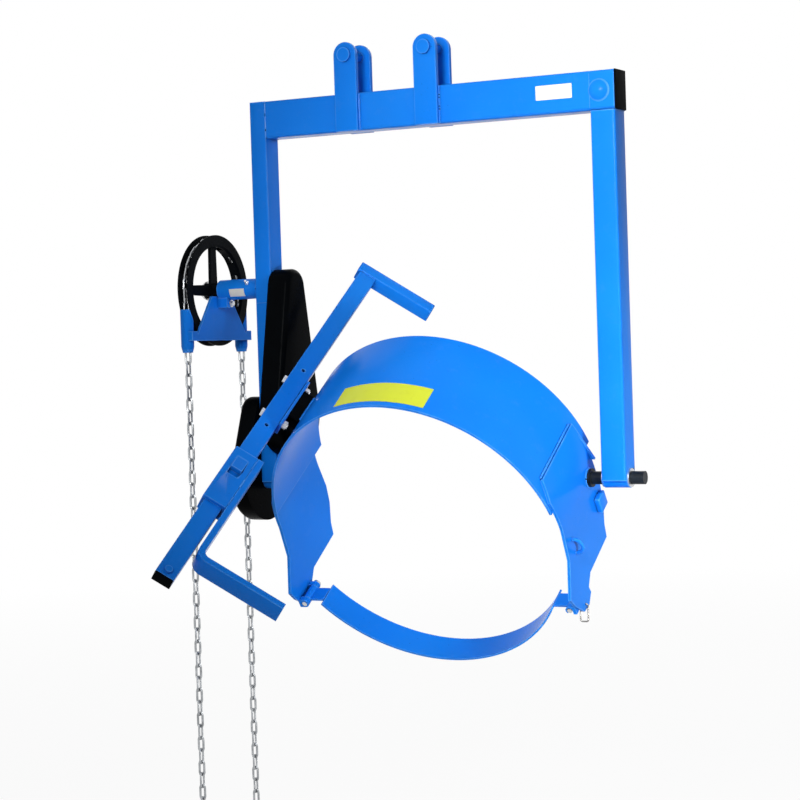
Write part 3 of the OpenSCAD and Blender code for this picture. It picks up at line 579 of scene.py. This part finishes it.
def bead(bm, points, radius):
    """Weld bead: a round section swept along the points, swelling at every other one"""
    end, swell, dip = 0.55, 1.12, 0.9
    places = along(points)
    ring = bmesh.ops.create_circle(bm, cap_ends=True, segments=7, radius=radius * end,
                                   matrix=places[0])["verts"]
    edges = [e for e in {e for v in ring for e in v.link_edges} if len(e.link_faces) == 1]
    last = end
    for i, place in enumerate(places[1:], 1):
        size = (end if i == len(places) - 1 else swell if i % 2 else dip) / last
        last *= size
        grown = bmesh.ops.extrude_edge_only(bm, edges=edges)["geom"]
        verts = only(grown, bmesh.types.BMVert)
        edges = only(grown, bmesh.types.BMEdge)
        move = place @ Matrix.Scale(size, 4) @ places[i - 1].inverted()
        bmesh.ops.transform(bm, matrix=move, verts=verts)
    bmesh.ops.contextual_create(bm, geom=edges)


def seam(bm, sizes, a, b, share=1.0):
    """Straight weld bead from a to b, as thick as a share of the full bead"""
    bead(bm, straight(a, b, sizes.ripple), sizes.bead * share)


def round_seam(bm, sizes, place, radius, share=1.0):
    """Weld bead in a circle about a place's own Z"""
    bead(bm, circle(place, radius, sizes.ripple), sizes.bead * share)


# Operators


class LIFTER_OT_finishes(bpy.types.Operator):
    """Gives every CAD node its paint, plating or metal"""

    bl_idname = "lifter.finishes"
    bl_label = "Finishes on the CAD nodes"

    def execute(self, context):
        left = set(frame["nodes"]) - set(NODE_FINISH) - {"hand_chain"}
        if left:
            raise RuntimeError(f"nodes without a finish: {sorted(left)}")
        for node, finish in NODE_FINISH.items():
            mesh = frame["nodes"][node].data
            mesh.materials.clear()
            mesh.materials.append(stock(finish))
        return {"FINISHED"}


class LIFTER_OT_soft_edges(bpy.types.Operator):
    """Rounds the edges of the tubes, plates, bars and caps"""

    bl_idname = "lifter.soft_edges"
    bl_label = "Rounded edges"

    def execute(self, context):
        for node, (body, radius, way) in SOFT_EDGES.items():
            bm = bmesh.new()
            bm.from_mesh(frame["nodes"][node].data)
            bmesh.ops.remove_doubles(bm, verts=bm.verts, dist=MERGE)
            bmesh.ops.dissolve_limit(bm, angle_limit=FLAT, verts=bm.verts, edges=bm.edges)
            edges = [e for e in bm.edges if self.takes(e, radius, way)]
            if not edges:
                raise RuntimeError(f"{node} has no edge to round")
            bmesh.ops.bevel(bm, geom=edges, offset=radius, offset_type="OFFSET", affect="EDGES", segments=4,
                            profile=0.5, material=-1, clamp_overlap=True)
            finish = NODE_FINISH[node]
            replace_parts(piece(f"soft_{node}", bm, finish, body), node)
        return {"FINISHED"}

    def takes(self, edge, radius, way):
        """Whether an outer edge is sharp, long enough and runs in the wanted direction"""
        if len(edge.link_faces) != 2 or not edge.is_convex:
            return False
        if edge.calc_face_angle(0) < SHARP or edge.calc_length() < 2 * radius:
            return False
        line = (edge.verts[1].co - edge.verts[0].co).normalized()
        return way is None or abs(line.dot(way)) > PARALLEL


class LIFTER_OT_guards(bpy.types.Operator):
    """Draws the two drive guards from sheet, with a rounded face edge"""

    bl_idname = "lifter.guards"
    bl_label = "Drive guards"

    def execute(self, context):
        self.guard(context, "upper_guard", JACK_Z, WHEEL_Z, 1)
        self.guard(context, "lower_guard", AXIS_Z, JACK_Z, -1)
        return {"FINISHED"}

    def guard(self, context, node, large_z, small_z, way):
        """A sheet shell round two circles, open towards the leg"""
        sizes = context.scene.lifter_sizes
        low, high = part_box(node)
        face, leg = (high.x, low.x) if way > 0 else (low.x, high.x)
        middle = Vector(((face + leg) / 2, 0, large_z))
        bm = bmesh.new()
        for z, radius in ((large_z, large_z - low.z), (small_z, high.z - small_z)):
            place = across(middle.x, z)
            bmesh.ops.create_cone(bm, cap_ends=True, segments=72, radius1=radius, radius2=radius,
                                  depth=abs(face - leg), matrix=place)
        hull = bmesh.ops.convex_hull(bm, input=bm.verts)
        bmesh.ops.delete(bm, geom=only(hull["geom_interior"], bmesh.types.BMVert), context="VERTS")
        bmesh.ops.dissolve_limit(bm, angle_limit=FLAT, verts=bm.verts, edges=bm.edges)
        bmesh.ops.recalc_face_normals(bm, faces=bm.faces)
        rim = [e for e in bm.edges if self.lies_at(e, face) and e.calc_face_angle(0) > SHARP]
        bmesh.ops.bevel(bm, geom=rim, offset=sizes.guard_edge, offset_type="OFFSET", affect="EDGES",
                        segments=6, profile=0.5, material=-1, clamp_overlap=False)
        back = [f for f in bm.faces if self.lies_at(f, leg)]
        bmesh.ops.delete(bm, geom=back, context="FACES")
        bmesh.ops.recalc_face_normals(bm, faces=bm.faces)
        first = bm.faces[0]
        if first.normal.dot(first.calc_center_median() - middle) < 0:
            bmesh.ops.reverse_faces(bm, faces=bm.faces)
        bmesh.ops.solidify(bm, geom=bm.faces[:], thickness=sizes.guard_sheet)
        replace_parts(piece(f"{node}_cover", bm, "guard_black", "frame"), node)

    def lies_at(self, element, x):
        """Whether an edge or a face lies in the plane at x"""
        return all(abs(v.co.x - x) < IN_PLANE for v in element.verts)


class LIFTER_OT_hand_chain(bpy.types.Operator):
    """Builds the hand chain of round wire links in place of the plain one"""

    bl_idname = "lifter.hand_chain"
    bl_label = "Hand chain"

    def execute(self, context):
        sizes = context.scene.lifter_sizes
        link = self.link_mesh(sizes)
        chain = bmesh.new()
        for i in range(sizes.links):
            place = self.link_place(sizes, (i + 0.5) * sizes.link_pitch, i % 2)
            before = set(chain.verts)
            chain.from_mesh(link)
            bmesh.ops.transform(chain, matrix=place, verts=[v for v in chain.verts if v not in before])
        bpy.data.meshes.remove(link)
        obj = piece("hand_chain_links", chain, "chain", "frame")
        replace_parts(obj, "hand_chain")
        return {"FINISHED"}

    def link_mesh(self, sizes):
        """One link of round wire: a bend, a straight side, the other bend and the other side"""
        play = 0.0002
        bend_steps = 5
        wire = sizes.link_wire / 2
        half = sizes.link_width / 2 - wire
        straight_half = (sizes.link_pitch + sizes.link_wire + play) / 2 - half
        bm = bmesh.new()
        ring = bmesh.ops.create_circle(bm, segments=6, radius=wire,
                                       matrix=Matrix.Translation((half, 0, straight_half)))["verts"]
        geom = list({e for v in ring for e in v.link_edges}) + ring
        bent = bmesh.ops.spin(bm, geom=geom, axis=(0, -1, 0), cent=(0, 0, straight_half),
                              angle=math.pi, steps=bend_steps)["geom_last"]
        grown = bmesh.ops.extrude_edge_only(bm, edges=only(bent, bmesh.types.BMEdge))["geom"]
        bmesh.ops.translate(bm, vec=(0, 0, -2 * straight_half), verts=only(grown, bmesh.types.BMVert))
        ends = only(grown, (bmesh.types.BMVert, bmesh.types.BMEdge))
        bent = bmesh.ops.spin(bm, geom=ends, axis=(0, -1, 0), cent=(0, 0, -straight_half),
                              angle=math.pi, steps=bend_steps)["geom_last"]
        last = only(bent, bmesh.types.BMEdge)
        first = [e for e in bm.edges if e.is_boundary and e not in last]
        bmesh.ops.bridge_loops(bm, edges=last + first)
        bmesh.ops.recalc_face_normals(bm, faces=bm.faces)
        link = bpy.data.meshes.new("chain_link")
        bm.to_mesh(link)
        bm.free()
        return link

    def link_place(self, sizes, t, odd):
        """Where the link at length t along the loop lies"""
        half_turn = math.pi * CHAIN_R
        run = (sizes.links * sizes.link_pitch - 2 * half_turn) / 2
        if t < half_turn:
            turn = t / CHAIN_R
            y, z, lean = -CHAIN_R * math.cos(turn), CHAIN_R * math.sin(turn), -turn
        elif t < half_turn + run:
            y, z, lean = CHAIN_R, half_turn - t, 0
        elif t < 2 * half_turn + run:
            turn = (t - half_turn - run) / CHAIN_R
            y, z, lean = CHAIN_R * math.cos(turn), -run - CHAIN_R * math.sin(turn), -turn
        else:
            y, z, lean = -CHAIN_R, t - 2 * half_turn - 2 * run, 0
        return (Matrix.Translation((WHEEL_X, y, WHEEL_Z + z)) @ Matrix.Rotation(lean, 4, "X")
                @ Matrix.Rotation(odd * math.pi / 2, 4, "Z"))


class LIFTER_OT_welds(bpy.types.Operator):
    """Runs weld beads where plates and tubes are joined"""

    bl_idname = "lifter.welds"
    bl_label = "Weld beads"

    def execute(self, context):
        sizes = context.scene.lifter_sizes
        self.frame_welds(sizes)
        self.saddle_welds(sizes)
        self.slider_welds(sizes)
        return {"FINISHED"}

    def frame_welds(self, sizes):
        """Hook lugs, left end of the beam, shaft housing, guide seat and top of the right leg"""
        inset, corner, inward = 0.001, 0.005, 0.995
        seat_drop, seat_inset = 0.031, 0.004
        bm = bmesh.new()
        low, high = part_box("cross_beam")
        for x in LUG_PLACES:
            for y in (-high.y, high.y):
                for edge in (-LUG_HALF, LUG_HALF):
                    seam(bm, sizes, (x + edge, y, low.z + inset), (x + edge, y, high.z - inset))
        for y in (low.y * inward, high.y * inward):
            seam(bm, sizes, (low.x, y, low.z), (low.x, y, high.z), 0.55)
        leg_low, leg_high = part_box("left_leg")
        round_seam(bm, sizes, across(leg_low.x, WHEEL_Z), HOUSING_R)
        seat = WHEEL_Z - seat_drop
        seam(bm, sizes, (leg_low.x + seat_inset, leg_low.y, seat),
             (leg_high.x - seat_inset, leg_low.y, seat), 0.3)
        leg_low, leg_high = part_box("right_leg")
        x = leg_low.x
        seam(bm, sizes, (x, leg_high.y, low.z), (leg_high.x, leg_high.y, low.z), 0.6)
        seam(bm, sizes, (x, leg_low.y + corner, low.z), (x, leg_high.y, low.z), 0.9)
        seam(bm, sizes, (x, low.y, low.z + corner), (x, low.y, high.z - corner), 0.3)
        piece("frame_welds", bm, "enamel", "frame")

    def saddle_welds(self, sizes):
        """Wings on the band, trunnions on the wings and spacers on the band"""
        wing_turn, wing_low, wing_high = math.radians(20.5), -0.03, 0.138
        bead_lift, trunnion_foot = 0.0015, 0.0185
        spacer_half, spacer_low, spacer_high = 0.0157, 0.014, 0.086
        bm = bmesh.new()
        radius = BAND_OUT + bead_lift
        for side in (-1, 1):
            x, y = side * radius * math.cos(wing_turn), radius * math.sin(wing_turn)
            seam(bm, sizes, SADDLE @ Vector((x, y, wing_low)), SADDLE @ Vector((x, y, wing_high)), 0.8)
            round_seam(bm, sizes, SADDLE @ across(side * WING_OUT, 0), trunnion_foot, 0.8)
        for y in (-spacer_half, spacer_half):
            x = math.sqrt(BAND_OUT ** 2 - y ** 2) - ARM_RADIUS
            seam(bm, sizes, ARM @ Vector((x, y, spacer_low)), ARM @ Vector((x, y, spacer_high)))
        piece("saddle_welds", bm, "enamel", "saddle")

    def slider_welds(self, sizes):
        """Short runs where the lid hook's bar joins the sleeve"""
        x, length = -0.0248, 0.024
        bm = bmesh.new()
        for y in (-HOOK_HALF, HOOK_HALF):
            for z in (0.245, 0.300, 0.352):
                seam(bm, sizes, ARM @ Vector((x, y, z)), ARM @ Vector((x, y, z + length)), 0.6)
        piece("slider_welds", bm, "enamel", "slider")


class LIFTER_OT_fittings(bpy.types.Operator):
    """Adds the grease nipple on the shaft housing and the bolt in the chain guide's seat"""

    bl_idname = "lifter.fittings"
    bl_label = "Small fittings"

    def execute(self, context):
        self.grease_nipple()
        self.guide_bolt()
        return {"FINISHED"}

    def grease_nipple(self):
        """Hexagon, neck and ball on the front of the housing, leaning up"""
        x, lean, sunk = -0.437, math.radians(31), 0.0005
        ball, ball_height = 0.0027, 0.0093
        way = Vector((0, -math.cos(lean), math.sin(lean)))
        stand = Matrix.Translation(Vector((x, 0, WHEEL_Z)) + way * (HOUSING_R - sunk))
        stand = stand @ way.to_track_quat("Z", "X").to_matrix().to_4x4()
        bm = bmesh.new()
        self.turned(bm, stand, 6, 0.0042, 0.0042, 0.0, 0.0045)
        self.turned(bm, stand, 12, 0.0030, 0.0017, 0.0045, 0.0075)
        bmesh.ops.create_uvsphere(bm, u_segments=12, v_segments=8, radius=ball,
                                  matrix=stand @ Matrix.Translation((0, 0, ball_height)))
        piece("grease_nipple", bm, "zinc", "frame")

    def guide_bolt(self):
        """Washer and hexagon head on the guide's seat"""
        y, drop = 0.002, 0.0285
        stand = Matrix.Translation((0, y, 0)) @ across(GUIDE_FACE, WHEEL_Z - drop)
        bm = bmesh.new()
        self.turned(bm, stand, 24, 0.0075, 0.0075, 0.0, 0.0012)
        self.turned(bm, stand, 6, 0.0060, 0.0056, 0.0012, 0.0058)
        piece("guide_bolt", bm, "zinc", "frame")

    def turned(self, bm, stand, sides, r0, r1, z0, z1):
        """Round or six-sided piece from height z0 to z1 above its stand, with a broken top edge"""
        break_share, top = 0.15, z1 - DOUBLE
        made = bmesh.ops.create_cone(bm, cap_ends=True, segments=sides, radius1=r0, radius2=r1,
                                     depth=z1 - z0, matrix=Matrix.Translation((0, 0, (z0 + z1) / 2)))["verts"]
        rim = [e for e in {e for v in made for e in v.link_edges} if all(v.co.z > top for v in e.verts)]
        before = set(bm.verts) - set(made)
        bmesh.ops.bevel(bm, geom=rim, offset=(z1 - z0) * break_share, affect="EDGES", segments=2,
                        profile=0.5, material=-1)
        bmesh.ops.transform(bm, matrix=stand, verts=[v for v in bm.verts if v not in before])


class LIFTER_OT_labels(bpy.types.Operator):
    """Places the blank beam label, band decal and housing plate"""

    bl_idname = "lifter.labels"
    bl_label = "Blank labels"

    def execute(self, context):
        thick = context.scene.lifter_sizes.vinyl
        width, height, corner = 0.076, 0.028, 0.002
        label_x, label_z = 0.272, -0.1115
        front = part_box("cross_beam")[0].y
        bm = bmesh.new()
        slab(bm, (width, thick, height), corner, thick * 0.4,
             Matrix.Translation((label_x, front - thick / 2, label_z)))
        piece("beam_label", bm, "label", "frame")

        low, high = 0.095, 0.153
        start, end = math.radians(70), math.radians(106)
        bm = bmesh.new()
        curved_patch(bm, BAND_OUT, BAND_OUT + thick, low, high, start, end, 36, SADDLE)
        piece("band_decal", bm, "decal", "saddle")

        left, right = -0.480, -0.444
        start, end = math.radians(-92), math.radians(-45)
        bm = bmesh.new()
        curved_patch(bm, HOUSING_R, HOUSING_R + thick, left, right, start, end, 12, across(0, WHEEL_Z))
        piece("housing_plate", bm, "label", "frame")
        return {"FINISHED"}


class LIFTER_OT_stage(bpy.types.Operator):
    """Sets the pale floor, the soft lights, the room light and the camera"""

    bl_idname = "lifter.stage"
    bl_label = "Stage"

    def execute(self, context):
        scene = context.scene
        stage = scene.lifter_stage
        scene.view_settings.view_transform = "Standard"
        self.floor(scene)
        self.room(scene, stage)
        middle = (0, 0, -0.75)
        wide = math.pi
        for name, at, target, size, power, spread in (
            ("key_light", (0.6, -2.5, 0.3), (0.8, 0, -0.35), 0.8, stage.key, math.radians(68)),
            ("side_light", (2.6, -1.3, -1.3), (0.5, 0, -0.98), 0.6, stage.side, math.radians(34)),
            ("fill_light", (-1.8, -3.8, 1.2), middle, 3.0, stage.fill, wide),
            ("back_light", (0.2, 2.6, 1.6), middle, 3.0, stage.back, wide),
        ):
            self.lamp(name, at, target, size, power, spread)
        self.camera(scene, stage)
        return {"FINISHED"}

    def floor(self, scene):
        """A wide plane a little below the lowest link"""
        gap, half = 0.02, 30
        bm = bmesh.new()
        bmesh.ops.create_grid(bm, x_segments=1, y_segments=1, size=half,
                              matrix=Matrix.Translation((0, 0, CAD_BOX[0][2] - gap)))
        mesh = bpy.data.meshes.new("floor")
        bm.to_mesh(mesh)
        bm.free()
        floor = bpy.data.objects.new("floor", mesh)
        scene.collection.objects.link(floor)
        mesh.materials.append(self.floor_material())

    def camera(self, scene, stage):
        """Stands where the lines of the photograph put the camera"""
        cam = bpy.data.cameras.new("camera")
        cam.lens = stage.lens
        cam.sensor_width = 36
        cam.clip_start = 0.05
        cam.clip_end = 200
        obj = bpy.data.objects.new("camera", cam)
        scene.collection.objects.link(obj)
        level = math.cos(PITCH)
        ahead = Vector((-math.sin(YAW) * level, math.cos(YAW) * level, math.sin(PITCH)))
        right = Vector((math.cos(YAW), math.sin(YAW), 0))
        up = right.cross(ahead)
        rolled_right = right * math.cos(ROLL) + up * math.sin(ROLL)
        rolled_up = up * math.cos(ROLL) - right * math.sin(ROLL)
        turn = Matrix((rolled_right, rolled_up, -ahead)).transposed().to_4x4()
        obj.matrix_world = Matrix.Translation(CAMERA_AT) @ turn
        scene.camera = obj

    def seen(self, tree):
        """One where a ray comes from the camera, a mirror or a clear surface"""
        path = tree.nodes.new("ShaderNodeLightPath")
        total = None
        for name in ("Is Camera Ray", "Is Glossy Ray", "Is Transmission Ray"):
            if total is None:
                total = path.outputs[name]
                continue
            most = tree.nodes.new("ShaderNodeMath")
            most.operation = "MAXIMUM"
            tree.links.new(total, most.inputs[0])
            tree.links.new(path.outputs[name], most.inputs[1])
            total = most.outputs[0]
        return total

    def floor_material(self):
        """Pale and matt to the lamps, white to the eye, fully so far from the middle"""
        near, far, glow_near = 2.5, 7, 0.93
        m = bpy.data.materials.new("pale_floor")
        m.use_nodes = True
        tree = m.node_tree
        tree.nodes.clear()
        out = tree.nodes.new("ShaderNodeOutputMaterial")
        matt = tree.nodes.new("ShaderNodeBsdfDiffuse")
        matt.inputs["Color"].default_value = (0.86, 0.86, 0.86, 1)
        glow = tree.nodes.new("ShaderNodeEmission")
        glow.inputs["Color"].default_value = (1, 1, 1, 1)
        place = tree.nodes.new("ShaderNodeTexCoord")
        away = tree.nodes.new("ShaderNodeVectorMath")
        away.operation = "LENGTH"
        tree.links.new(place.outputs["Object"], away.inputs[0])
        fade = tree.nodes.new("ShaderNodeMapRange")
        fade.inputs["From Min"].default_value = near
        fade.inputs["From Max"].default_value = far
        fade.inputs["To Min"].default_value = glow_near
        tree.links.new(away.outputs["Value"], fade.inputs["Value"])
        share = tree.nodes.new("ShaderNodeMath")
        share.operation = "MULTIPLY"
        tree.links.new(fade.outputs["Result"], share.inputs[1])
        tree.links.new(self.seen(tree), share.inputs[0])
        mix = tree.nodes.new("ShaderNodeMixShader")
        tree.links.new(share.outputs[0], mix.inputs["Fac"])
        tree.links.new(matt.outputs[0], mix.inputs[1])
        tree.links.new(glow.outputs[0], mix.inputs[2])
        tree.links.new(mix.outputs[0], out.inputs["Surface"])
        return m

    def room(self, scene, stage):
        """White to the eye, a weak even light on the pieces"""
        world = bpy.data.worlds.new("room")
        scene.world = world
        world.use_nodes = True
        tree = world.node_tree
        tree.nodes.clear()
        out = tree.nodes.new("ShaderNodeOutputWorld")
        even = tree.nodes.new("ShaderNodeBackground")
        even.inputs["Color"].default_value = (0.95, 0.97, 1, 1)
        even.inputs["Strength"].default_value = stage.sky
        white = tree.nodes.new("ShaderNodeBackground")
        white.inputs["Color"].default_value = (1, 1, 1, 1)
        white.inputs["Strength"].default_value = 1
        mix = tree.nodes.new("ShaderNodeMixShader")
        tree.links.new(self.seen(tree), mix.inputs["Fac"])
        tree.links.new(even.outputs[0], mix.inputs[1])
        tree.links.new(white.outputs[0], mix.inputs[2])
        tree.links.new(mix.outputs[0], out.inputs["Surface"])

    def lamp(self, name, at, target, size, power, spread):
        """A round soft light aimed at a target"""
        light = bpy.data.lights.new(name, "AREA")
        light.spread = spread
        light.shape = "DISK"
        light.size = size
        light.energy = power
        obj = bpy.data.objects.new(name, light)
        bpy.context.scene.collection.objects.link(obj)
        obj.location = at
        obj.rotation_euler = (Vector(target) - Vector(at)).to_track_quat("-Z", "Y").to_euler()


class LIFTER_PT_panel(bpy.types.Panel):
    """Lists the steps and the values that they use"""

    bl_idname = "LIFTER_PT_panel"
    bl_label = "Drum lifter"
    bl_space_type = "VIEW_3D"
    bl_region_type = "UI"
    bl_category = "Drum lifter"

    def draw(self, context):
        for operator in OPERATORS:
            self.layout.operator(operator.bl_idname)
        for group in (context.scene.lifter_colours, context.scene.lifter_sizes, context.scene.lifter_stage):
            box = self.layout.box()
            for name in group.__annotations__:
                box.prop(group, name)


OPERATORS = [
    LIFTER_OT_stage, LIFTER_OT_finishes, LIFTER_OT_soft_edges, LIFTER_OT_guards, LIFTER_OT_hand_chain,
    LIFTER_OT_welds, LIFTER_OT_fittings, LIFTER_OT_labels,
]
CLASSES = [LifterColours, LifterSizes, LifterStage, *OPERATORS, LIFTER_PT_panel]


def register():
    for cls in CLASSES:
        bpy.utils.register_class(cls)
    bpy.types.Scene.lifter_colours = PointerProperty(type=LifterColours)
    bpy.types.Scene.lifter_sizes = PointerProperty(type=LifterSizes)
    bpy.types.Scene.lifter_stage = PointerProperty(type=LifterStage)


def unregister():
    del bpy.types.Scene.lifter_stage
    del bpy.types.Scene.lifter_sizes
    del bpy.types.Scene.lifter_colours
    for cls in reversed(CLASSES):
        bpy.utils.unregister_class(cls)


def main():
    register()
    bpy.ops.lifter.stage()
    bpy.ops.lifter.finishes()
    bpy.ops.lifter.soft_edges()
    bpy.ops.lifter.guards()
    bpy.ops.lifter.hand_chain()
    bpy.ops.lifter.welds()
    bpy.ops.lifter.fittings()
    bpy.ops.lifter.labels()


if __name__ == "__main__":
    main()
